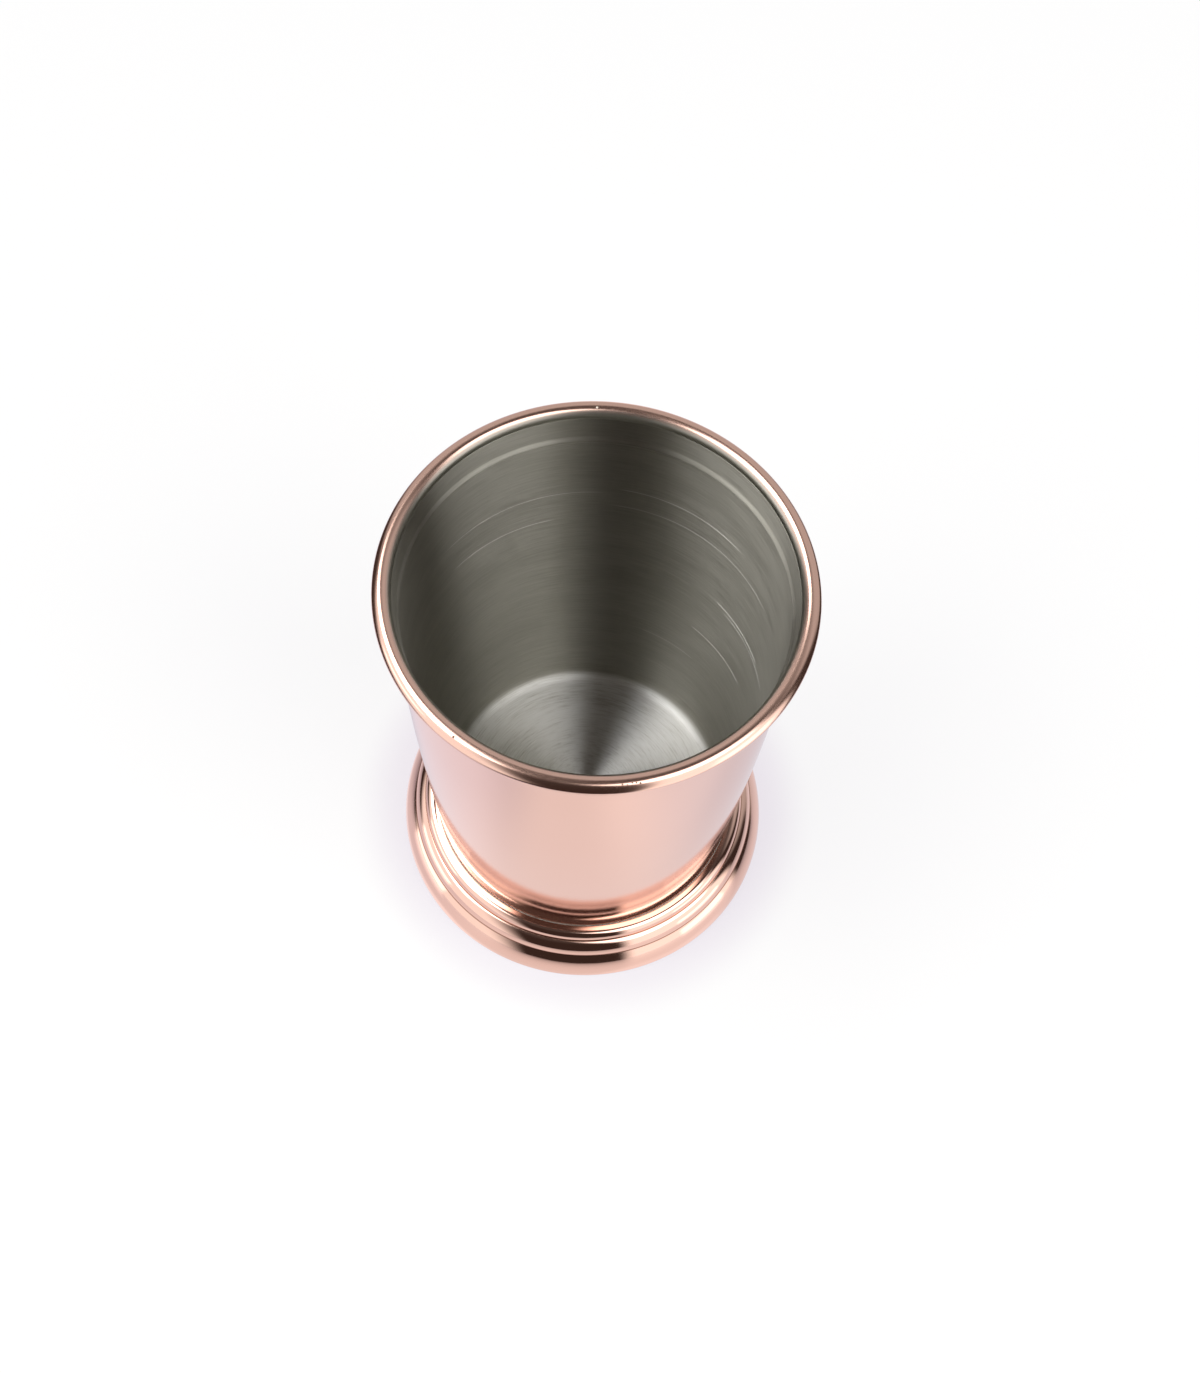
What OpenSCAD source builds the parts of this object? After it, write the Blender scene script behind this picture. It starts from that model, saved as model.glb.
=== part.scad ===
// Footed julep cup: a drawn steel liner inside a copper shell with a rolled rim,
// soldered into a stepped copper foot ring.
// The origin is the centre of the face that the foot rests on, with Z up the axis.

/* [Cup] */
// Height from the table to the top of the rolled rim
cup_h = 112.8; // [100:0.1:125]
// Outside diameter of the rolled rim
rim_d = 90; // [87:0.1:96]
// Thickness of the rolled rim, across its round section
rim_roll_d = 3.9; // [3.2:0.1:4.8]
// Depth of the shoulder line inside the cup, below the top of the rim
shoulder_depth = 9; // [7:0.1:13]
// Inside diameter of the cup at the shoulder line
shoulder_d = 81; // [77:0.1:82]
// How far the wall bows outwards between the shoulder and the foot
wall_bow = 0.8; // [0.4:0.05:2]
// Inside radius of the corner between the wall and the floor
floor_corner_r = 4; // [3:0.1:5]
// Opening left along the seam of the rolled rim, between its edge and the lip
rim_seam_gap = 0.3; // [0.1:0.05:0.5]

/* [Sheet metal] */
// Thickness of the steel liner
liner_t = 0.4; // [0.3:0.05:0.6]
// Thickness of the copper shell
shell_t = 0.4; // [0.3:0.05:0.6]
// Thickness of the copper foot ring
foot_t = 0.8; // [0.5:0.05:1.1]
// Gap between the shell and the foot ring that the solder fills
solder_gap = 0.2; // [0.15:0.05:0.3]
// Clearance between the solder's round faces and the sheets on either side
solder_clear = 0.03; // [0.01:0.01:0.04]
// How far the solder runs down past the start of the shell's corner
solder_run = 1.6; // [0.8:0.1:2]
// Length of the liner's lip that is burnished away short of the rolled rim
lip_feather = 0.5; // [0.3:0.05:0.9]

/* [Foot ring] */
// Diameter of the straight seat at the bottom of the shell
seat_d = 72.4; // [69:0.1:74]
// Widest diameter of the foot ring
foot_d = 89.8; // [88:0.1:94]
// Height of the straight edge round the bottom
edge_h = 0.6; // [0.3:0.1:1]
// Height of the lowest step
low_step_h = 6.3; // [5.6:0.1:7.2]
// How far the lowest step leans in from the widest line to its top
low_step_in = 2.95; // [2.6:0.05:3.3]
// Radius of the lowest step's round face
low_step_r = 8.5; // [6:0.1:12]
// Height of the middle step
mid_step_h = 2.95; // [2.6:0.05:3.3]
// How far the middle step leans in from the lowest step to its top
mid_step_in = 2.55; // [2.3:0.05:2.8]
// Radius of the middle step's round face
mid_step_r = 3.75; // [2.7:0.05:5]
// Height of the top step, up to the line where the foot ring meets the wall
top_step_h = 2.45; // [2.25:0.05:3]
// Radius of the top step's round edge
top_step_r = 2; // [1.4:0.1:2.2]
// Height of the straight seat, from the shell's corner up to the top of the foot ring
seat_rise = 0.5; // [0.3:0.05:1.2]
// Height of the flange turned down round the bore
flange_h = 3.2; // [3:0.1:4]
// Width of the flat edge turned in under the foot
hem_w = 2.4; // [1.5:0.1:4]

/* [Hidden] */

// Facets round the axis, round the small sections, round the long arc of the wall, and
// round the corner at the floor
round_fn = 144;
section_fn = 72;
wall_fn = 1200;
corner_fn = 144;
// One overrun for every cut
over = 1;

// Both sheets of the cup together
wall_t = liner_t + shell_t;

// Height of the foot ring, where its top step meets the wall
foot_h = low_step_h + mid_step_h + top_step_h;

// Rolled rim
roll_r = rim_roll_d / 2;
roll_c = [rim_d / 2 - roll_r, cup_h - roll_r];

// Inside surface of the wall: an arc from the seat up to the shoulder
seat_in = [seat_d / 2 - wall_t, foot_h];
shoulder = [shoulder_d / 2, cup_h - shoulder_depth];
chord = shoulder - seat_in;
bow_r = (chord * chord / 4 + wall_bow ^ 2) / (2 * wall_bow);
bow_out = [chord.y, -chord.x] / norm(chord);
bow_c = (shoulder + seat_in) / 2 - bow_out * (bow_r - wall_bow);

// Corner between the straight seat and the floor
corner = seat_in - [floor_corner_r, seat_rise];
floor_h = corner.y - floor_corner_r;

// Radius of the cup's wall at a height, on the surface that lies outside the inner one by grow
function wall_x(z, grow) = bow_c.x + sqrt((bow_r + grow) ^ 2 - (z - bow_c.y) ^ 2);

// Lip: a straight flare from the shoulder that meets the rolled rim at a tangent
lip_run = roll_c - shoulder;
lip_l = sqrt(lip_run * lip_run - roll_r ^ 2);
lip_angle = atan2(lip_run.y, lip_run.x) + asin(roll_r / norm(lip_run));
lip_dir = [cos(lip_angle), sin(lip_angle)];
function lip_at(along, grow) = [wall_x(shoulder.y, grow), shoulder.y] + lip_dir * along;

// Foot ring: bore, and the lines where one step meets the next
bore_r = wall_x(foot_h, wall_t) + solder_gap;
edge = [foot_d / 2, edge_h];
low_crease = [foot_d / 2 - low_step_in, low_step_h];
mid_crease = low_crease + [-mid_step_in, mid_step_h];

// Centre of a round face from one point up to another
function face_centre(low, high, r) =
    let(rise = high - low)
    (low + high) / 2 - [rise.y, -rise.x] / norm(rise) * sqrt(r ^ 2 - rise * rise / 4);

low_c = face_centre(edge, low_crease, low_step_r);
mid_c = face_centre(low_crease, mid_crease, mid_step_r);
top_c = [mid_crease.x - top_step_r, foot_h - top_step_r];

// Area inside the cup below the shoulder, out to the surface that lies outside
// the inner one by grow
module bowl(grow) {
    // The seat and the floor grow by as much as the wall does where they meet it
    side = wall_x(foot_h, grow) - seat_in.x;
    intersection() {
        translate(bow_c) circle(r = bow_r + grow, $fn = wall_fn);
        translate([0, foot_h]) square([rim_d, shoulder.y - foot_h]);
    }
    translate([0, corner.y]) square([seat_in.x + side, foot_h - corner.y]);
    translate([0, floor_h - side]) square([corner.x, floor_corner_r + side]);
    translate(corner) intersection() {
        circle(r = floor_corner_r + side, $fn = corner_fn);
        translate([0, -floor_corner_r - side]) square(floor_corner_r + side);
    }
}

// Strip of the lip between two surfaces, from one place along it to another
module lip_strip(grow_in, grow_out, from, to) {
    polygon([lip_at(from, grow_in), lip_at(from, grow_out), lip_at(to, grow_out), lip_at(to, grow_in)]);
}

module rolled_rim(r) {
    translate(roll_c) circle(r = r, $fn = section_fn);
}

module liner_outline() {
    difference() {
        bowl(liner_t);
        bowl(0);
    }
    difference() {
        lip_strip(0, liner_t, 0, lip_l - lip_feather);
        rolled_rim(roll_r);
    }
}

module shell_outline() {
    difference() {
        bowl(wall_t);
        bowl(liner_t);
    }
    difference() {
        union() {
            // The seam is cut from the middle of the lip outwards, and the lip fills its inner half
            difference() {
                rolled_rim(roll_r);
                lip_strip(wall_t - shell_t / 2, wall_t + rim_seam_gap, lip_l - rim_roll_d, lip_l);
            }
            lip_strip(liner_t, wall_t, 0, lip_l);
        }
        rolled_rim(roll_r - shell_t);
    }
}

module solder_outline() {
    low = corner.y - solder_run;
    difference() {
        translate([corner.x, low]) square([bore_r - solder_clear - corner.x, foot_h - low]);
        bowl(wall_t + solder_clear);
    }
}

// Area behind a round face, up to its top
module behind_face(centre, r) {
    translate(centre) circle(r = r, $fn = section_fn);
    translate([0, -over]) square([centre.x, centre.y + r + over]);
}

// The steps' area above a height, drawn in from their outer faces by inset
module steps(inset, low) {
    intersection() {
        translate([0, low]) square([edge.x - inset, foot_h + over]);
        union() {
            behind_face(low_c, low_step_r - inset);
            behind_face(mid_c, mid_step_r - inset);
            behind_face(top_c, top_step_r - inset);
            // The top step has a straight flank under its round edge
            translate([0, -over]) square([mid_crease.x - inset, top_c.y + over]);
        }
    }
}

module foot_outline() {
    difference() {
        union() {
            difference() {
                steps(0, 0);
                steps(foot_t, -over);
            }
            // Flange turned down round the bore
            translate([0, foot_h - flange_h]) square([bore_r + foot_t, flange_h - foot_t / 2]);
            // Flat edge turned in under the foot
            translate([edge.x - foot_t / 2 - hem_w, 0]) square([hem_w, foot_t]);
        }
        translate([0, -over]) square([bore_r, foot_h + 2 * over]);
    }
}

module steel_liner() {
    color("#9a978f") rotate_extrude($fn = round_fn) liner_outline();
}

module copper_shell() {
    color("#dba28d") rotate_extrude($fn = round_fn) shell_outline();
}

module solder_ring() {
    color("#b9b4ab") rotate_extrude($fn = round_fn) solder_outline();
}

module foot_ring() {
    color("#d99a80") rotate_extrude($fn = round_fn) foot_outline();
}

steel_liner();
copper_shell();
solder_ring();
foot_ring();
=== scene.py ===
"""Looks of a footed copper julep cup with a brushed steel inside."""

import math

import bpy
from mathutils import Matrix, Vector


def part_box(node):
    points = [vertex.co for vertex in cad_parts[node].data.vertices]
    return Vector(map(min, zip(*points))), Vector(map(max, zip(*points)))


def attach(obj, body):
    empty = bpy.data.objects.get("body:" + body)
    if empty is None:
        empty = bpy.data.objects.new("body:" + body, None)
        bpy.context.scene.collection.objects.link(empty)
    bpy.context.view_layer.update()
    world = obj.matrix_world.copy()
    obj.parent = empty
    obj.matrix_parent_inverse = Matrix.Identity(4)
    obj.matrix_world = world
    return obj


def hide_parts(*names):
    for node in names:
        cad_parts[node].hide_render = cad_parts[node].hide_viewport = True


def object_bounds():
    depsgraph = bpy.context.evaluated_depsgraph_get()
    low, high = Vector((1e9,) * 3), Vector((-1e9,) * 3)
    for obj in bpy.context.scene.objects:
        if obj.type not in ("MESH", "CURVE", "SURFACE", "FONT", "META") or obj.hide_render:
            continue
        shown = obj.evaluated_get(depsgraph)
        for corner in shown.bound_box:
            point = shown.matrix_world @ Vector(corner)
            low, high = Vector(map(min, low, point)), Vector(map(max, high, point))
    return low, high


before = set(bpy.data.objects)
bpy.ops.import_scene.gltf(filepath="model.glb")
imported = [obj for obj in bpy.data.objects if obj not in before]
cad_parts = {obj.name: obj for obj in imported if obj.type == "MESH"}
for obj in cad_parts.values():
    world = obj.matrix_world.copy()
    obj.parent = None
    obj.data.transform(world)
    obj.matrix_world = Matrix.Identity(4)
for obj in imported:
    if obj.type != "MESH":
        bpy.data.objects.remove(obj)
cad_low, cad_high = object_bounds()

# Sizes are in millimetres up to the making of each mesh, which is in metres
MM = 0.001

# The cup's main sizes, from the solids
cup_h = cad_high.z / MM
rim_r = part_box("copper_shell")[1].x / MM
foot_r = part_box("foot_ring")[1].x / MM
foot_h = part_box("solder_ring")[1].z / MM

# The rest of the cup's section
roll_r = 1.95
shoulder_r = 40.5
shoulder_depth = 9.0
wall_bow = 0.8
floor_corner_r = 4.0
seat_r = 36.2
seat_rise = 0.5
seam_gap = 0.3
liner_t = 0.4
shell_t = 0.4
foot_t = 0.8
solder_gap = 0.2
solder_clear = 0.03
solder_run = 1.6
lip_feather = 0.5
edge_h = 0.6
low_step_h = 6.3
low_step_in = 2.95
low_step_r = 8.5
mid_step_h = 2.95
mid_step_in = 2.55
mid_step_r = 3.75
top_step_r = 2.0
flange_h = 3.2
hem_w = 2.4

# How finely curves are drawn: degrees for each step of an arc, of the wall's long arc and of the
# hollow in the rim, steps of the straight floor, the lip and the ridge, and turns round the axis
ARC_STEP = 3.0
LONG_ARC_STEP = 0.25
HOLLOW_STEP = 6.0
FLOOR_STEPS = 40
LIP_STEPS = 8
RIDGE_STEPS = 16
TURNS = 288

# Creases sharper than so many degrees are eased over a radius, in so many steps, which takes up
# no more than a share of a short side
SHARP = 25.0
SOFT_R = 0.12
SOFT_STEPS = 5
SIDE_SHARE = 0.45

# Points closer than this lie on top of each other
SAME_POINT = 1e-3
TINY = 1e-6

# Small round ridge on the inside wall at the shoulder: height and half width
RIDGE_H = 0.5
RIDGE_W = 1.4

# Length of the outlines that one unit of the UV map's second axis stands for
UV_UNIT = 100.0

wall_t = liner_t + shell_t
floor_h = foot_h - seat_rise - floor_corner_r
shoulder = Vector((shoulder_r, cup_h - shoulder_depth))
roll_c = Vector((rim_r - roll_r, cup_h - roll_r))
seat_in = Vector((seat_r - wall_t, foot_h))
corner = Vector((seat_in.x - floor_corner_r, floor_h + floor_corner_r))
chord = shoulder - seat_in
bow_r = (chord.length_squared / 4 + wall_bow ** 2) / (2 * wall_bow)
bow_out = Vector((chord.y, -chord.x)).normalized()
bow_c = (shoulder + seat_in) / 2 - bow_out * (bow_r - wall_bow)


def wall_x(z, grow):
    """Radius of the wall at a height, on the surface that lies outside the inner one by grow."""
    return bow_c.x + math.sqrt((bow_r + grow) ** 2 - (z - bow_c.y) ** 2)


lip_run = roll_c - shoulder
lip_l = math.sqrt(lip_run.length_squared - roll_r ** 2)
lip_angle = math.atan2(lip_run.y, lip_run.x) + math.asin(roll_r / lip_run.length)
lip_dir = Vector((math.cos(lip_angle), math.sin(lip_angle)))


def lip_at(along, grow):
    """Point of the lip, at a distance above the shoulder."""
    return Vector((wall_x(shoulder.y, grow), shoulder.y)) + lip_dir * along


# Outlines

def bearing(centre, point):
    """Direction from a centre to a point, in degrees."""
    return math.degrees(math.atan2(point.y - centre.y, point.x - centre.x))


def arc(centre, radius, start, end, step=ARC_STEP):
    """Points on an arc from one bearing to another, both included."""
    count = max(2, math.ceil(abs(end - start) / step))
    angles = [math.radians(start + (end - start) * i / count) for i in range(count + 1)]
    return [centre + radius * Vector((math.cos(a), math.sin(a))) for a in angles]


def circles_meet(c1, r1, c2, r2, side):
    """Where two circles cross, left (side 1) or right (side -1) of the way from the first."""
    way = c2 - c1
    along = (way.length_squared + r1 ** 2 - r2 ** 2) / (2 * way.length)
    across = math.sqrt(r1 ** 2 - along ** 2)
    ahead = way.normalized()
    return c1 + ahead * along + Vector((-ahead.y, ahead.x)) * across * side


def circle_meets_line(centre, radius, point, direction, side):
    """Where a line crosses a circle, at the far (side 1) or near (side -1) end of its chord."""
    foot = point + direction * direction.dot(centre - point)
    return foot + direction * side * math.sqrt(radius ** 2 - (centre - foot).length_squared)


def eased(points, closed):
    """The outline with each sharp crease turned into a short curve."""
    out, count = [], len(points)
    for i, p in enumerate(points):
        a, b = points[i - 1] - p, points[(i + 1) % count] - p
        inner = closed or 0 < i < count - 1
        if not inner or min(a.length, b.length) < TINY or math.degrees(math.pi - a.angle(b)) < SHARP:
            out.append(p)
            continue
        start = p + a.normalized() * min(SOFT_R, a.length * SIDE_SHARE)
        end = p + b.normalized() * min(SOFT_R, b.length * SIDE_SHARE)
        for step in range(SOFT_STEPS + 1):
            t = step / SOFT_STEPS
            out.append(start * (1 - t) ** 2 + p * 2 * t * (1 - t) + end * t ** 2)
    return out


def cleaned(points):
    """The outline without points that lie on top of the one before."""
    out = [points[0]]
    for p in points[1:]:
        if (p - out[-1]).length > SAME_POINT:
            out.append(p)
    return out


def bowl_side(grow):
    """The cup's surface from the middle of the floor to the shoulder."""
    side = wall_x(foot_h, grow) - seat_in.x
    centre = Vector((0.0, floor_h - side))
    floor_end = Vector((corner.x, floor_h - side))
    flat = [centre.lerp(floor_end, i / FLOOR_STEPS) for i in range(FLOOR_STEPS + 1)]
    low = bearing(bow_c, Vector((wall_x(foot_h, grow), foot_h)))
    high = bearing(bow_c, Vector((wall_x(shoulder.y, grow), shoulder.y)))
    return (
        flat
        + arc(corner, floor_corner_r + side, -90, 0)
        + arc(bow_c, bow_r + grow, low, high, LONG_ARC_STEP)
    )


def ridge():
    """Points over the ridge at the shoulder, from the wall up to the lip."""
    out = []
    for i in range(RIDGE_STEPS + 1):
        along = RIDGE_W * (2 * i / RIDGE_STEPS - 1)
        level = shoulder.y + along
        base = lip_at(along, 0) if along > 0 else Vector((wall_x(level, 0), level))
        rise = RIDGE_H * (1 + math.cos(math.pi * along / RIDGE_W)) / 2
        out.append(base - Vector((rise, 0)))
    return out


def liner_outline():
    wall = [p for p in bowl_side(0) if p.y < shoulder.y - RIDGE_W]
    lip = [lip_at(lip_l * i / LIP_STEPS, 0) for i in range(1, LIP_STEPS)]
    inside = wall + ridge() + [p for p in lip if p.y > shoulder.y + RIDGE_W]
    end_in = lip_at(lip_l - lip_feather, 0)
    end_out = circle_meets_line(roll_c, roll_r, end_in, Vector((1, 0)), -1)
    root = circle_meets_line(roll_c, roll_r, lip_at(0, liner_t), lip_dir, -1)
    seat = arc(roll_c, roll_r, bearing(roll_c, end_out) % 360, bearing(roll_c, root) % 360)
    outside = [lip_at(0, liner_t)] + bowl_side(liner_t)[::-1]
    return cleaned(inside[:-1] + [end_in] + seat + outside)


def shell_outline():
    """Both faces of the shell with its rolled rim, in the same sense as the other outlines."""
    hollow_r = roll_r - shell_t
    outside = bowl_side(wall_t)
    lip_out = lip_at(0, wall_t)
    slot_out = lip_at(0, wall_t + seam_gap)
    way_in = circle_meets_line(roll_c, hollow_r, lip_out, lip_dir, -1)
    back = circle_meets_line(roll_c, hollow_r, slot_out, lip_dir, -1)
    edge = circle_meets_line(roll_c, roll_r, slot_out, lip_dir, -1)
    root = circle_meets_line(roll_c, roll_r, lip_at(0, liner_t), lip_dir, -1)
    around = bearing(roll_c, way_in) % 360
    hollow = arc(roll_c, hollow_r, around, bearing(roll_c, back) % 360 - 360, HOLLOW_STEP)
    bead = arc(roll_c, roll_r, bearing(roll_c, edge) % 360 - 360, bearing(roll_c, root) % 360)
    inside = [lip_at(0, liner_t)] + bowl_side(liner_t)[::-1]
    return cleaned(outside + [lip_out.lerp(way_in, 0.5)] + hollow + bead + inside)[::-1]


def face_centre(low, high, r):
    """Centre of a round face from one point up to another."""
    rise = high - low
    outward = Vector((rise.y, -rise.x)).normalized()
    return (low + high) / 2 - outward * math.sqrt(r ** 2 - rise.length_squared / 4)


bore_r = wall_x(foot_h, wall_t) + solder_gap
edge = Vector((foot_r, edge_h))
low_crease = Vector((foot_r - low_step_in, low_step_h))
mid_crease = low_crease + Vector((-mid_step_in, mid_step_h))
low_c = face_centre(edge, low_crease, low_step_r)
mid_c = face_centre(low_crease, mid_crease, mid_step_r)
top_c = Vector((mid_crease.x - top_step_r, foot_h - top_step_r))


def foot_outline():
    """The pressed ring: three steps down the outside, then the hem, the hollow and the flange."""
    outside = [Vector((bore_r, foot_h))]
    outside += arc(top_c, top_step_r, 90, 0)
    outside += arc(mid_c, mid_step_r, bearing(mid_c, mid_crease), bearing(mid_c, low_crease))
    outside += arc(low_c, low_step_r, bearing(low_c, low_crease), bearing(low_c, edge))
    hem_x = foot_r - foot_t / 2 - hem_w
    hem = [Vector((foot_r, 0)), Vector((hem_x, 0)), Vector((hem_x, foot_t))]
    low_r, mid_r, top_r = low_step_r - foot_t, mid_step_r - foot_t, top_step_r - foot_t
    on_hem = circle_meets_line(low_c, low_r, Vector((0, foot_t)), Vector((1, 0)), 1)
    inner_crease = circles_meet(low_c, low_r, mid_c, mid_r, -1)
    flank = Vector((mid_crease.x - foot_t, 0))
    on_flank = circle_meets_line(mid_c, mid_r, flank, Vector((0, 1)), 1)
    inside = arc(low_c, low_r, bearing(low_c, on_hem), bearing(low_c, inner_crease))
    inside += arc(mid_c, mid_r, bearing(mid_c, inner_crease), bearing(mid_c, on_flank))
    inside += arc(top_c, top_r, 0, 90)
    flange_x, flange_low = bore_r + foot_t, foot_h - flange_h
    flange = [Vector((flange_x, foot_h - foot_t)), Vector((flange_x, flange_low))]
    flange.append(Vector((bore_r, flange_low)))
    return cleaned(outside + hem + inside + flange)


def solder_outline():
    """The film between shell and foot, from its top round to the wedge below it."""
    r = wall_x(foot_h, wall_t) - corner.x + solder_clear
    low = corner.y - solder_run
    outer_x = bore_r - solder_clear
    top = [Vector((corner.x + r, foot_h)), Vector((outer_x, foot_h)), Vector((outer_x, low))]
    return cleaned(top + arc(corner, r, -math.degrees(math.asin(solder_run / r)), 0))


# Meshes

def lathe(name, outline, closed):
    """A mesh turned from an outline, with a UV map of turn by length along the outline."""
    lengths = [0.0]
    for a, b in zip(outline, outline[1:]):
        lengths.append(lengths[-1] + (b - a).length)
    rings, verts = [], []
    for p in outline:
        if p.x < TINY:
            rings.append([len(verts)])
            verts.append((0.0, 0.0, p.y * MM))
            continue
        rings.append([len(verts) + i for i in range(TURNS)])
        for i in range(TURNS):
            a = 2 * math.pi * i / TURNS
            verts.append((p.x * math.cos(a) * MM, p.x * math.sin(a) * MM, p.y * MM))
    pairs = list(zip(range(len(rings)), range(1, len(rings))))
    if closed:
        pairs.append((len(rings) - 1, 0))
    faces, uvs = [], []
    total = lengths[-1] + (outline[0] - outline[-1]).length
    for low, high in pairs:
        v0 = lengths[low]
        v1 = lengths[high] if high else total
        a, b = rings[low], rings[high]
        if len(a) == 1 and len(b) == 1:
            continue
        for i in range(TURNS):
            j = (i + 1) % TURNS
            u0, u1 = i / TURNS, (i + 1) / TURNS
            if len(a) == 1:
                faces.append((a[0], b[i], b[j]))
                uvs += [((u0 + u1) / 2, v0), (u0, v1), (u1, v1)]
            elif len(b) == 1:
                faces.append((a[i], b[0], a[j]))
                uvs += [(u0, v0), ((u0 + u1) / 2, v1), (u1, v0)]
            else:
                faces.append((a[i], b[i], b[j], a[j]))
                uvs += [(u0, v0), (u0, v1), (u1, v1), (u1, v0)]
    mesh = bpy.data.meshes.new(name)
    mesh.from_pydata(verts, [], faces)
    layer = mesh.uv_layers.new(name="turned")
    for loop, (u, v) in zip(layer.data, uvs):
        loop.uv = (u, v / UV_UNIT)
    mesh.polygons.foreach_set("use_smooth", [True] * len(mesh.polygons))
    mesh.update()
    obj = bpy.data.objects.new(name, mesh)
    bpy.context.scene.collection.objects.link(obj)
    return obj


# Nodes for materials

class Graph:
    """A node tree with short calls for the nodes that this scene uses."""

    def __init__(self, tree):
        self.tree = tree
        tree.nodes.clear()

    def node(self, kind, inputs=None, **props):
        made = self.tree.nodes.new(kind)
        for key, value in props.items():
            setattr(made, key, value)
        for key, value in (inputs or {}).items():
            self.put(made.inputs[key], value)
        return made

    def put(self, socket, value):
        if isinstance(value, bpy.types.NodeSocket):
            self.tree.links.new(value, socket)
        else:
            socket.default_value = value

    def math(self, operation, a, b=0.0):
        return self.node("ShaderNodeMath", {0: a, 1: b}, operation=operation).outputs[0]

    def length(self, a, b):
        """Length of a line that runs by a one way and by b across it."""
        squares = self.math("ADD", self.math("POWER", a, 2.0), self.math("POWER", b, 2.0))
        return self.math("SQRT", squares)

    def dot(self, a, b):
        made = self.node("ShaderNodeVectorMath", {0: a, 1: b}, operation="DOT_PRODUCT")
        return made.outputs["Value"]

    def ramp(self, value, low, high, to_low=0.0, to_high=1.0):
        """A smooth step of a value, from one pair of limits to another."""
        names = {"Value": value, "From Min": low, "From Max": high, "To Min": to_low, "To Max": to_high}
        made = self.node("ShaderNodeMapRange", names, interpolation_type="SMOOTHSTEP")
        return made.outputs["Result"]

    def mix(self, share, a, b):
        """Mixes two colours."""
        made = self.node("ShaderNodeMix", data_type="RGBA", clamp_factor=True)
        self.put(made.inputs["Factor"], share)
        for socket, value in zip([s for s in made.inputs if s.type == "RGBA"], (a, b)):
            self.put(socket, value)
        return [s for s in made.outputs if s.type == "RGBA"][0]

    def blend(self, share, a, b):
        """Mixes two shaders."""
        inputs = {0: share, 1: a.outputs[0], 2: b.outputs[0]}
        return self.node("ShaderNodeMixShader", inputs)

    def noise(self, vector, scale, detail=2.0, roughness=0.5):
        names = {"Vector": vector, "Scale": scale, "Detail": detail, "Roughness": roughness}
        return self.node("ShaderNodeTexNoise", names).outputs["Fac"]


WHITE = (1.0, 1.0, 1.0, 1.0)

# Least radius that a place's turn round the axis is worked out for, in metres
LEAST_R = 1e-5


def new_material(name):
    material = bpy.data.materials.new(name)
    material.use_nodes = True
    return material, Graph(material.node_tree)


def around_axis(g):
    """A place of the cup, its radius and height, and the cosine and sine of its turn."""
    place = g.node("ShaderNodeTexCoord").outputs["Object"]
    x, y, height = g.node("ShaderNodeSeparateXYZ", {0: place}).outputs
    radius = g.length(x, y)
    least = g.math("MAXIMUM", radius, LEAST_R)
    return place, radius, height, g.math("DIVIDE", x, least), g.math("DIVIDE", y, least)


def turned_place(g, cosine, sine, around, along):
    """Coordinates that wrap round the axis without a seam, for features long round it."""
    uv = g.node("ShaderNodeUVMap", uv_map="turned").outputs["UV"]
    length = g.node("ShaderNodeSeparateXYZ", {0: uv}).outputs[1]
    names = {0: g.math("MULTIPLY", cosine, around), 1: g.math("MULTIPLY", sine, around),
             2: g.math("MULTIPLY", length, along)}
    return g.node("ShaderNodeCombineXYZ", names).outputs[0]


STEEL_DARK = (0.38, 0.37, 0.325, 1.0)
STEEL_LIGHT = (0.46, 0.45, 0.40, 1.0)
# The inside floor's steel is painted much lighter than the wall's: painted light, for the bright
# reflection the floor catches
STEEL_FLOOR_LIT = (0.93, 0.93, 0.91, 1.0)

# Copper, and the warmer tone that clouds it by a share
COPPER = (0.955, 0.64, 0.53, 1.0)
COPPER_WARM = (0.93, 0.595, 0.48, 1.0)
WARM_SHARE = 0.35
CLOUD_SCALE = 60.0

# Fine lines of the polish: how fast they change round the axis and across it
POLISH_AROUND, POLISH_ALONG = 1.0, 60.0
POLISH_SCALE = 9.0

# Roughness of the copper, and what each thing adds to it
COPPER_ROUGH = 0.045
ROUGH_POLISH = 0.05
ROUGH_ROLL = 0.11
ROUGH_BARE = 0.2
ROUGH_MARK = 0.5
ROUGH_CREASE_SHADE = 0.2

# Small pits and nicks of the rolled rim: place in millimetres, radius
PITS = (
    ((-25.40, -35.75, 112.63), 0.28),
    ((6.06, -43.72, 112.47), 0.16),
    ((7.17, -43.30, 112.61), 0.2),
    ((8.11, -43.29, 112.52), 0.16),
    ((9.02, -42.78, 112.68), 0.18),
    ((9.78, -42.71, 112.64), 0.16),
    ((10.54, -42.72, 112.55), 0.2),
)
PIT_COLOUR = (0.10, 0.045, 0.03, 1.0)
PIT_SHARE = 0.85

# Painted glint: one bright near-white spot at the back of the rim, a painted highlight
PAINTED_GLINT = ((-2.52, 42.40, 112.71), 0.24)
PAINTED_GLINT_COLOUR = (1.0, 0.95, 0.85, 1.0)

# Where a small mark starts and ends to fade, as shares of its radius
MARK_FULL, MARK_GONE = 0.5, 1.3

# Inner side of the rolled rim, where the copper is burnished thin and the steel shows: shares of
# the roll's radius, measured out from the middle of the roll and up from it, how far the edge of
# the bare strip strays, and how far its lower end fades
BARE_FROM, BARE_TO = -0.35, -0.9
BARE_LOW = -0.5
BARE_STRAY = 0.25
BARE_FADE = 0.6

# Painted shade in the creases between the steps, dark brown lines in place of the shade there: half width
# in millimetres, colour and its share
CREASE_SHADE_W = 0.34
CREASE_SHADE = (0.30, 0.135, 0.085, 1.0)
CREASE_SHADE_SHARE = 0.9


def crease_shade_ring(g, radius, height, point):
    """Share of the painted crease shade round a circle of the foot."""
    across = g.math("SUBTRACT", radius, point.x * MM)
    along = g.math("SUBTRACT", height, point.y * MM)
    return g.ramp(g.length(across, along), 0.0, CREASE_SHADE_W * MM, 1.0, 0.0)


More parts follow.
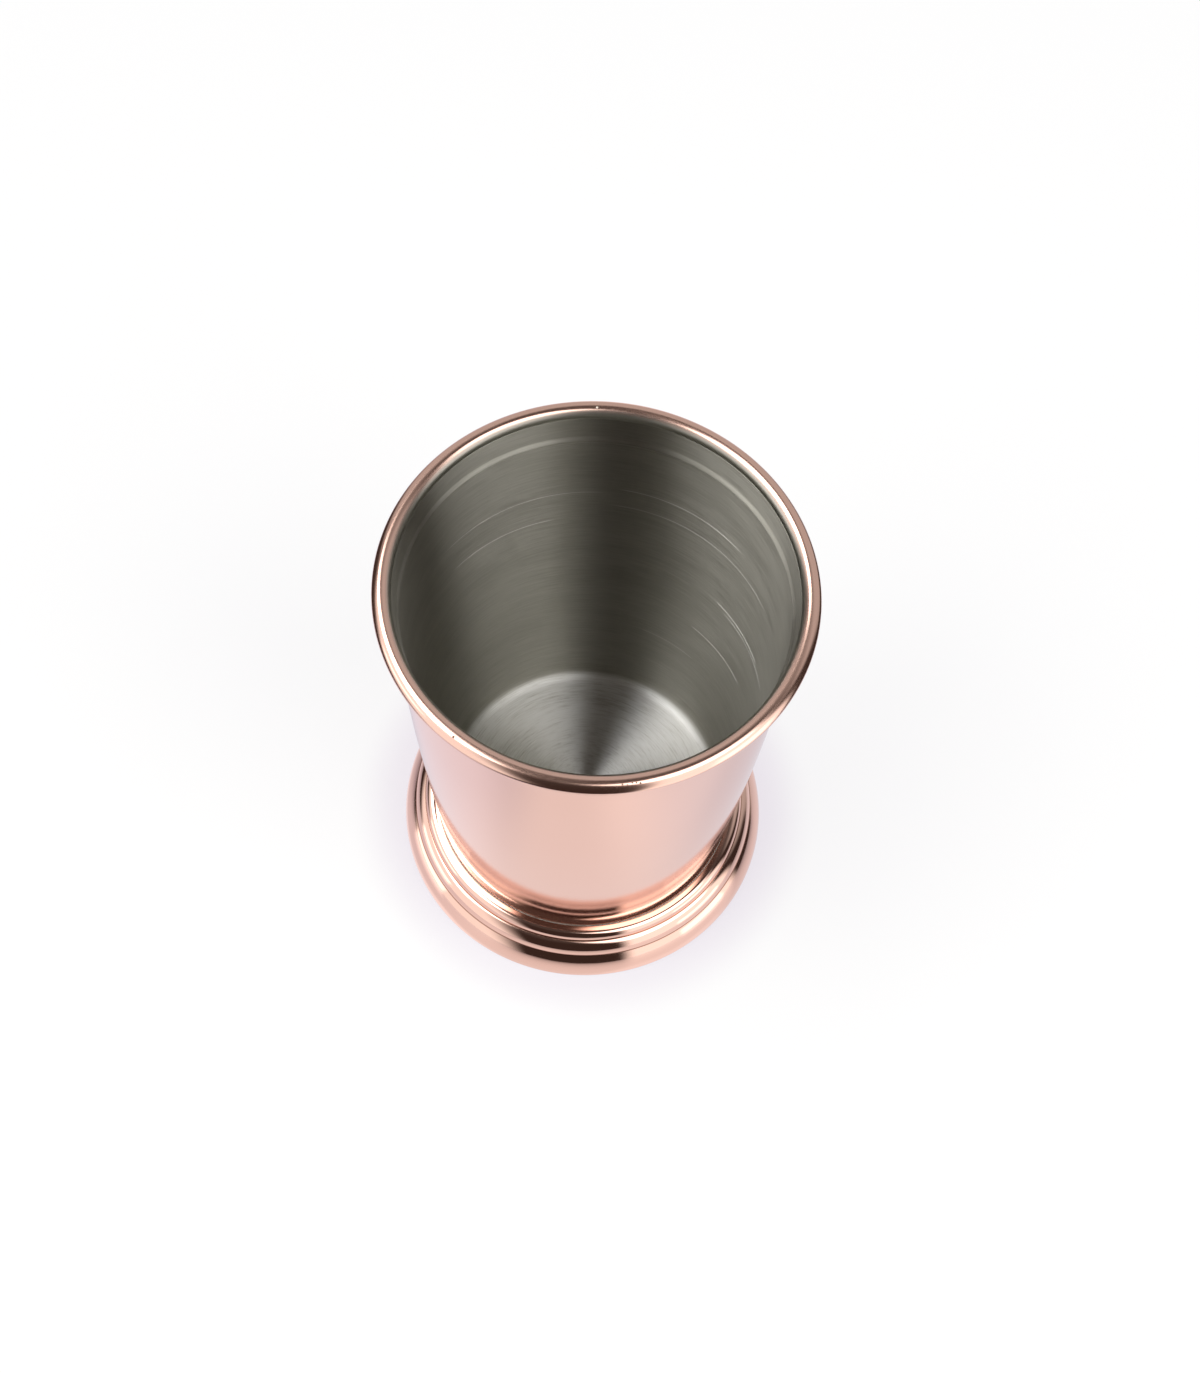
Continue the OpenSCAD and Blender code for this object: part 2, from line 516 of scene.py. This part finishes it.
def spot(g, place, centre, radius):
    """Share of a small round mark at a place."""
    off = g.node("ShaderNodeVectorMath", {0: place, 1: Vector(centre) * MM}, operation="DISTANCE")
    return g.ramp(off.outputs["Value"], radius * MM * MARK_FULL, radius * MM * MARK_GONE, 1.0, 0.0)


def bare_steel(g, radius, height, fine):
    """How much a place is on the rolled rim, and how much its steel shows there."""
    out = g.math("DIVIDE", g.math("SUBTRACT", radius, roll_c.x * MM), roll_r * MM)
    up = g.math("DIVIDE", g.math("SUBTRACT", height, roll_c.y * MM), roll_r * MM)
    on_roll = g.ramp(up, BARE_LOW - BARE_FADE, BARE_LOW)
    stray = g.math("MULTIPLY", g.math("SUBTRACT", fine, 0.5), BARE_STRAY)
    bare = g.ramp(g.math("ADD", out, stray), BARE_TO, BARE_FROM, 1.0, 0.0)
    return on_roll, g.math("MULTIPLY", bare, on_roll)


def polished_copper():
    material, g = new_material("polished_copper")
    place, radius, height, cosine, sine = around_axis(g)
    clouds = g.noise(place, CLOUD_SCALE, 3.0)
    turned = turned_place(g, cosine, sine, POLISH_AROUND, POLISH_ALONG)
    fine = g.noise(turned, POLISH_SCALE, 4.0, 0.6)
    on_roll, bare = bare_steel(g, radius, height, fine)
    pitted = 0.0
    for centre, size in PITS:
        pitted = g.math("MAXIMUM", pitted, spot(g, place, centre, size))
    crease_shade = 0.0
    for point in (low_crease, mid_crease, Vector((bore_r, foot_h))):
        crease_shade = g.math("MAXIMUM", crease_shade, crease_shade_ring(g, radius, height, point))
    glint_share = spot(g, place, *PAINTED_GLINT)
    colour = g.mix(g.math("MULTIPLY", clouds, WARM_SHARE), COPPER, COPPER_WARM)
    colour = g.mix(bare, colour, STEEL_LIGHT)
    colour = g.mix(g.math("MULTIPLY", pitted, PIT_SHARE), colour, PIT_COLOUR)
    # painted shade: dark brown lines in the creases of the foot and where it meets the body
    colour = g.mix(g.math("MULTIPLY", crease_shade, CREASE_SHADE_SHARE), colour, CREASE_SHADE)
    # painted highlight: a near-white glint painted over the copper at the back of the rim
    colour = g.mix(glint_share, colour, PAINTED_GLINT_COLOUR)
    marked = g.math("MULTIPLY", g.math("MAXIMUM", pitted, glint_share), ROUGH_MARK)
    marked = g.math("MAXIMUM", marked, g.math("MULTIPLY", crease_shade, ROUGH_CREASE_SHADE))
    worn = g.math("ADD", g.math("MULTIPLY", on_roll, ROUGH_ROLL), g.math("MULTIPLY", bare, ROUGH_BARE))
    roughness = g.math("ADD", g.math("MULTIPLY", fine, ROUGH_POLISH), COPPER_ROUGH)
    roughness = g.math("ADD", roughness, g.math("ADD", worn, marked))
    bump = g.node("ShaderNodeBump", {"Strength": 0.08, "Distance": 0.00004, "Height": fine})
    shader = g.node("ShaderNodeBsdfPrincipled", {
        "Base Color": colour, "Metallic": 1.0, "Roughness": roughness, "Normal": bump.outputs[0]})
    g.node("ShaderNodeOutputMaterial", {"Surface": shader.outputs[0]})
    return material


# Arc scratches on the inside wall, painted near-white as a painted highlight where they catch the light:
# height above the table in millimetres, middle and half length in degrees round the axis, and strength
SCRATCHES = (
    (86.0, 62.0, 24.0, 0.5),
    (84.2, 118.0, 30.0, 0.35),
    (79.6, 55.0, 34.0, 0.4),
    (74.5, 125.0, 20.0, 0.45),
    (60.8, 31.0, 14.0, 0.8),
    (59.4, 24.0, 17.0, 0.5),
    (43.6, 38.0, 15.0, 0.6),
    (31.0, 60.0, 12.0, 0.3),
)
SCRATCH_W = 0.24
SCRATCH_HIGHLIGHT_COLOUR = (1.0, 0.99, 0.96, 1.0)
ROUGH_SCRATCH = 0.3

# Lines of the brushing: how fast the fine and the broad ones change round the axis and across it,
# and the share of each
FINE_AROUND, FINE_ALONG = 5.0, 300.0
BROAD_AROUND, BROAD_ALONG = 1.6, 22.0
FINE_SHARE = 0.7

# Roughness of the steel, in its darkest and its lightest lines
STEEL_ROUGH = (0.36, 0.41)

# Heights above the floor between which the floor's painted lighter tone, which stands in for the light on
# the floor, turns into the wall's
LIT_FLOOR_HEIGHTS = (0.2, 1.5)


def scratch_highlight_share(g, height, cosine, sine):
    """How much of a scratch, with its painted highlight, is at a place of the inside wall."""
    total = 0.0
    for level, middle, half, strength in SCRATCHES:
        off = g.math("ABSOLUTE", g.math("SUBTRACT", height, level * MM))
        near = g.ramp(off, 0.0, SCRATCH_W * MM, 1.0, 0.0)
        a = math.radians(middle)
        east, north = g.math("MULTIPLY", cosine, math.cos(a)), g.math("MULTIPLY", sine, math.sin(a))
        ends = math.cos(math.radians(half))
        long = g.ramp(g.math("ADD", east, north), ends, (1 + 2 * ends) / 3)
        total = g.math("ADD", total, g.math("MULTIPLY", g.math("MULTIPLY", near, long), strength))
    return g.math("MINIMUM", total, 1.0)


def brushed_steel():
    material, g = new_material("brushed_steel")
    _, _, height, cosine, sine = around_axis(g)
    fine = g.noise(turned_place(g, cosine, sine, FINE_AROUND, FINE_ALONG), 1.0, 4.0, 0.65)
    broad = g.noise(turned_place(g, cosine, sine, BROAD_AROUND, BROAD_ALONG), 1.0, 3.0, 0.55)
    lines = g.math("ADD", g.math("MULTIPLY", fine, FINE_SHARE), g.math("MULTIPLY", broad, 1 - FINE_SHARE))
    scratch_and_highlight = scratch_highlight_share(g, height, cosine, sine)
    wall_tone = g.mix(g.ramp(lines, 0.35, 0.65), STEEL_DARK, STEEL_LIGHT)
    # painted highlight: the scratches are painted near-white, lighter than the steel, where they catch
    # the light
    wall_tone = g.mix(scratch_and_highlight, wall_tone, SCRATCH_HIGHLIGHT_COLOUR)
    # painted light: the floor of the inside is painted a much lighter steel than the wall
    lit_floor_tone = g.mix(g.ramp(lines, 0.1, 0.6), STEEL_LIGHT, STEEL_FLOOR_LIT)
    low, high = ((floor_h + rise) * MM for rise in LIT_FLOOR_HEIGHTS)
    colour = g.mix(g.ramp(height, low, high, 1.0, 0.0), wall_tone, lit_floor_tone)
    roughness = g.ramp(lines, 0.3, 0.7, *STEEL_ROUGH)
    roughness = g.math("ADD", roughness, g.math("MULTIPLY", scratch_and_highlight, ROUGH_SCRATCH))
    bump = g.node("ShaderNodeBump", {"Strength": 0.04, "Distance": 0.00003, "Height": fine})
    tangent = g.node("ShaderNodeTangent", direction_type="RADIAL", axis="Z")
    shader = g.node("ShaderNodeBsdfPrincipled", {
        "Base Color": colour, "Metallic": 1.0, "Roughness": roughness, "Normal": bump.outputs[0],
        "Anisotropic": 1.0, "Anisotropic Rotation": 0.25, "Tangent": tangent.outputs[0]})
    g.node("ShaderNodeOutputMaterial", {"Surface": shader.outputs[0]})
    return material


SOLDER_DARK = (0.45, 0.43, 0.40, 1.0)
SOLDER_LIGHT = (0.60, 0.58, 0.54, 1.0)
SOLDER_ROUGH = (0.35, 0.55)
LUMP_SCALE = 400.0


def dull_solder():
    material, g = new_material("solder")
    place = g.node("ShaderNodeTexCoord").outputs["Object"]
    lumps = g.noise(place, LUMP_SCALE, 3.0)
    colour = g.mix(lumps, SOLDER_DARK, SOLDER_LIGHT)
    bump = g.node("ShaderNodeBump", {"Strength": 0.5, "Distance": 0.0002, "Height": lumps})
    roughness = g.ramp(lumps, 0.3, 0.7, *SOLDER_ROUGH)
    shader = g.node("ShaderNodeBsdfPrincipled", {
        "Base Color": colour, "Metallic": 1.0, "Roughness": roughness, "Normal": bump.outputs[0]})
    g.node("ShaderNodeOutputMaterial", {"Surface": shader.outputs[0]})
    return material


# Pieces

liner = lathe("liner", eased(liner_outline(), False), False)
shell = lathe("shell", eased(shell_outline(), False), False)
foot = lathe("foot", eased(foot_outline(), True), True)
solder = lathe("solder", solder_outline(), True)
copper = polished_copper()
for piece, node, slot, material in (
    (liner, "steel_liner", "brushed_steel", brushed_steel()),
    (shell, "copper_shell", "polished_copper", copper),
    (foot, "foot_ring", "polished_copper", copper),
    (solder, "solder_ring", "solder", dull_solder()),
):
    piece.data.materials.append(material)
    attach(piece, "root")
    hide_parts(node)


# Studio

def direction(azimuth, elevation):
    a, e = math.radians(azimuth), math.radians(elevation)
    return Vector((math.cos(a) * math.cos(e), math.sin(a) * math.cos(e), math.sin(e)))


def panel(g, ray, azimuth, elevation, half_w, half_h, tilt, soft):
    """Share of a far rectangular light that a ray meets. Half sizes are angles in degrees."""
    centre = direction(azimuth, elevation)
    right = centre.cross(Vector((0, 0, 1))).normalized()
    up = right.cross(centre)
    turn = Matrix.Rotation(math.radians(tilt), 3, centre)
    ahead = g.dot(ray, centre)
    share = g.ramp(ahead, 0.0, 0.05)
    for axis, half in ((turn @ right, half_w), (turn @ up, half_h)):
        off = g.math("DIVIDE", g.dot(ray, axis), g.math("MAXIMUM", ahead, 1e-3))
        limit = math.tan(math.radians(half))
        within = g.ramp(g.math("ABSOLUTE", off), limit * (1 - soft), limit * (1 + soft), 1.0, 0.0)
        share = g.math("MULTIPLY", share, within)
    return share


# Far lights of the studio: azimuth, elevation, half width, half height, tilt, softness, strength
STUDIO_PANELS = {
    "left softbox": (-159, 16, 60, 33, -63, 0.4, 1.04),
    "right softbox": (-35, -3, 30, 58, 0, 0.18, 1.22),
    "back wall": (77, 20, 57, 40, -12, 0.35, 0.45),
    "left core": (168, 60, 25, 13, 0, 0.35, 4.9),
    "right core": (-37, 57, 19, 16, 0, 0.3, 2.8),
    "left strip": (-172, 10, 15, 11, 0, 0.2, 1.8),
    "right strip": (-26, -8, 14, 24, 0, 0.2, 1.85),
}
CEILING = (108, 85, 34, 40, 0, 0.38, 0.03)

# Dark gaps between the lights: azimuth, elevation, half width, half height, tilt, softness, depth
DARK_GAPS = {
    "left gap": (152, -4, 17, 17, 0, 0.5, 0.85),
    "right gap": (10, -6, 9, 26, 0, 0.4, 0.85),
}

LAMP_COLOUR = (1.0, 0.99, 0.98, 1.0)
DIM_ROOM = (0.04, 0.027, 0.023, 1.0)


def studio_world():
    world = bpy.data.worlds.new("studio")
    bpy.context.scene.world = world
    world.use_nodes = True
    g = Graph(world.node_tree)
    ray = g.node("ShaderNodeTexCoord").outputs["Generated"]
    light = 0.0
    for *where, strength in STUDIO_PANELS.values():
        share = panel(g, ray, *where)
        light = g.math("MAXIMUM", light, g.math("MULTIPLY", share, strength))
    *where, strength = CEILING
    light = g.math("ADD", light, g.math("MULTIPLY", panel(g, ray, *where), strength))
    for *where, depth in DARK_GAPS.values():
        share = panel(g, ray, *where)
        light = g.math("MULTIPLY", light, g.math("SUBTRACT", 1.0, g.math("MULTIPLY", share, depth)))
    path = g.node("ShaderNodeLightPath").outputs
    seen = g.node("ShaderNodeBackground", {"Color": WHITE, "Strength": 1.0})
    lamps = g.node("ShaderNodeBackground", {"Color": LAMP_COLOUR, "Strength": light})
    room = g.node("ShaderNodeBackground", {"Color": DIM_ROOM, "Strength": 1.0})
    lit = g.node("ShaderNodeAddShader", {0: lamps.outputs[0], 1: room.outputs[0]})
    both = g.blend(path["Is Camera Ray"], lit, seen)
    g.node("ShaderNodeOutputWorld", {"Surface": both.outputs[0]})


# Half the floor's width, and the edges of the white table as the metal sees it, in metres
FLOOR_HALF = 1.5
TABLE_X = (-0.15, 0.14)
TABLE_Y = (-0.117, 0.9)
TABLE_SOFT = 0.01

# The floor's own colour, and the light and the colour that the camera sees on it
PAPER = (0.8, 0.8, 0.82, 1.0)
GLOW = (0.976, 0.965, 1.0, 1.0)
GLOW_STRENGTH = 0.80
SHADED = (0.12, 0.125, 0.11, 1.0)

# Faint shade on the table round the foot, and how far it reaches, in millimetres
HALO = (0.85, 0.80, 0.89, 1.0)
HALO_REACH = 15.0

# The table as the metal sees it: cooler beside the cup than in front of it, with the half widths
# between which it changes, in metres, and a sheen
TABLE_FRONT = (1.0, 0.94, 0.955, 1.0)
TABLE_LEFT = (0.71, 0.675, 0.785, 1.0)
TABLE_RIGHT = (0.83, 0.81, 0.89, 1.0)
TABLE_WHITE = 0.885
COOL_FROM, COOL_TO = 0.018, 0.065
SHEEN_ROUGH = 0.15
SHEEN_IOR = 1.6


def white_floor():
    floor_mesh = bpy.data.meshes.new("floor")
    h = FLOOR_HALF
    floor_mesh.from_pydata([(-h, -h, 0), (h, -h, 0), (h, h, 0), (-h, h, 0)], [], [(0, 1, 2, 3)])
    floor = bpy.data.objects.new("floor", floor_mesh)
    bpy.context.scene.collection.objects.link(floor)
    material, g = new_material("white_floor")
    place = g.node("ShaderNodeTexCoord").outputs["Object"]
    x, y, _ = g.node("ShaderNodeSeparateXYZ", {0: place}).outputs
    on_table = 1.0
    for value, (low, high) in ((x, TABLE_X), (y, TABLE_Y)):
        inside = g.math("MULTIPLY", g.ramp(value, low - TABLE_SOFT, low + TABLE_SOFT),
                        g.ramp(value, high - TABLE_SOFT, high + TABLE_SOFT, 1.0, 0.0))
        on_table = g.math("MULTIPLY", on_table, inside)
    path = g.node("ShaderNodeLightPath").outputs
    paper = g.node("ShaderNodeBsdfDiffuse", {"Color": PAPER})
    halo = g.ramp(g.length(x, y), foot_r * MM, (foot_r + HALO_REACH) * MM, 1.0, 0.0)
    glow = g.node("ShaderNodeEmission", {"Color": g.mix(halo, GLOW, HALO), "Strength": GLOW_STRENGTH})
    shown = g.node("ShaderNodeBsdfDiffuse", {"Color": SHADED})
    seen = g.node("ShaderNodeAddShader", {0: glow.outputs[0], 1: shown.outputs[0]})
    table_colour = g.mix(g.ramp(x, -COOL_TO, -COOL_FROM, 1.0, 0.0), TABLE_FRONT, TABLE_LEFT)
    table_colour = g.mix(g.ramp(x, COOL_FROM, COOL_TO), table_colour, TABLE_RIGHT)
    lit = g.node("ShaderNodeEmission", {"Color": table_colour, "Strength": TABLE_WHITE})
    sheen = g.node("ShaderNodeBsdfGlossy", {"Color": WHITE, "Roughness": SHEEN_ROUGH})
    table = g.blend(g.node("ShaderNodeFresnel", {"IOR": SHEEN_IOR}).outputs[0], lit, sheen)
    mirrored = g.blend(on_table, g.node("ShaderNodeBsdfTransparent"), table)
    glossy = g.math("MAXIMUM", path["Is Glossy Ray"], path["Is Transmission Ray"])
    base = g.blend(path["Is Camera Ray"], paper, seen)
    final = g.blend(glossy, base, mirrored)
    g.node("ShaderNodeOutputMaterial", {"Surface": final.outputs[0]})
    floor_mesh.materials.append(material)


# Two soft lamps at the sides, which give the floor its shadow: place of the right one, size in
# metres, and power
LAMP_PLACE = (0.7, -0.35, 0.7)
LAMP_SIZE = 0.8
LAMP_POWER = 9.0


def soft_lamp(name, side):
    lamp = bpy.data.lights.new(name, "AREA")
    lamp.shape = "RECTANGLE"
    lamp.size = lamp.size_y = LAMP_SIZE
    lamp.energy = LAMP_POWER
    obj = bpy.data.objects.new(name, lamp)
    bpy.context.scene.collection.objects.link(obj)
    x, y, z = LAMP_PLACE
    obj.location = (side * x, y, z)
    obj.rotation_mode = "QUATERNION"
    obj.rotation_quaternion = Vector((-side * x, -y, -z)).to_track_quat("-Z", "Y")
    obj.visible_glossy = False


# Camera: the photograph's, found from the ellipses of the rim and the foot
PHOTO_W, PHOTO_H = 1200, 1373
FOCAL_PX = 1800.0
DISTANCE = 360.4
ELEVATION = 59.96
ROLL = 3.76
SENSOR = 36.0
# Pixel of the middle of the rim bead's plane
AIM_PX = Vector((596.74, 587.15))


def photo_camera():
    camera = bpy.data.cameras.new("camera")
    camera.sensor_width = SENSOR
    camera.lens = FOCAL_PX * SENSOR / PHOTO_H
    camera.clip_start, camera.clip_end = 0.01, 10.0
    e = math.radians(ELEVATION)
    away = Vector((0, -math.cos(e), math.sin(e))) * DISTANCE
    ahead = -away.normalized()
    right = Vector((1, 0, 0))
    down = -right.cross(ahead)
    turned = Matrix((right, down, ahead))
    turned = Matrix.Rotation(math.radians(ROLL), 3, "Z") @ turned
    middle = Vector(((PHOTO_W - 1) / 2, (PHOTO_H - 1) / 2))
    aim = (AIM_PX - middle) / FOCAL_PX
    toward = Vector((aim.x, aim.y, 1)).normalized()
    turned = Vector((0, 0, 1)).rotation_difference(toward).to_matrix() @ turned
    obj = bpy.data.objects.new("camera", camera)
    bpy.context.scene.collection.objects.link(obj)
    axes = Matrix((turned[0], -turned[1], -turned[2])).transposed()
    place = (away + Vector((0, 0, roll_c.y))) * MM
    obj.matrix_world = Matrix.Translation(place) @ axes.to_4x4()
    bpy.context.scene.camera = obj


studio_world()
white_floor()
soft_lamp("left_lamp", -1)
soft_lamp("right_lamp", 1)
photo_camera()

bpy.context.scene.view_settings.view_transform = "Standard"
bpy.context.view_layer.update()
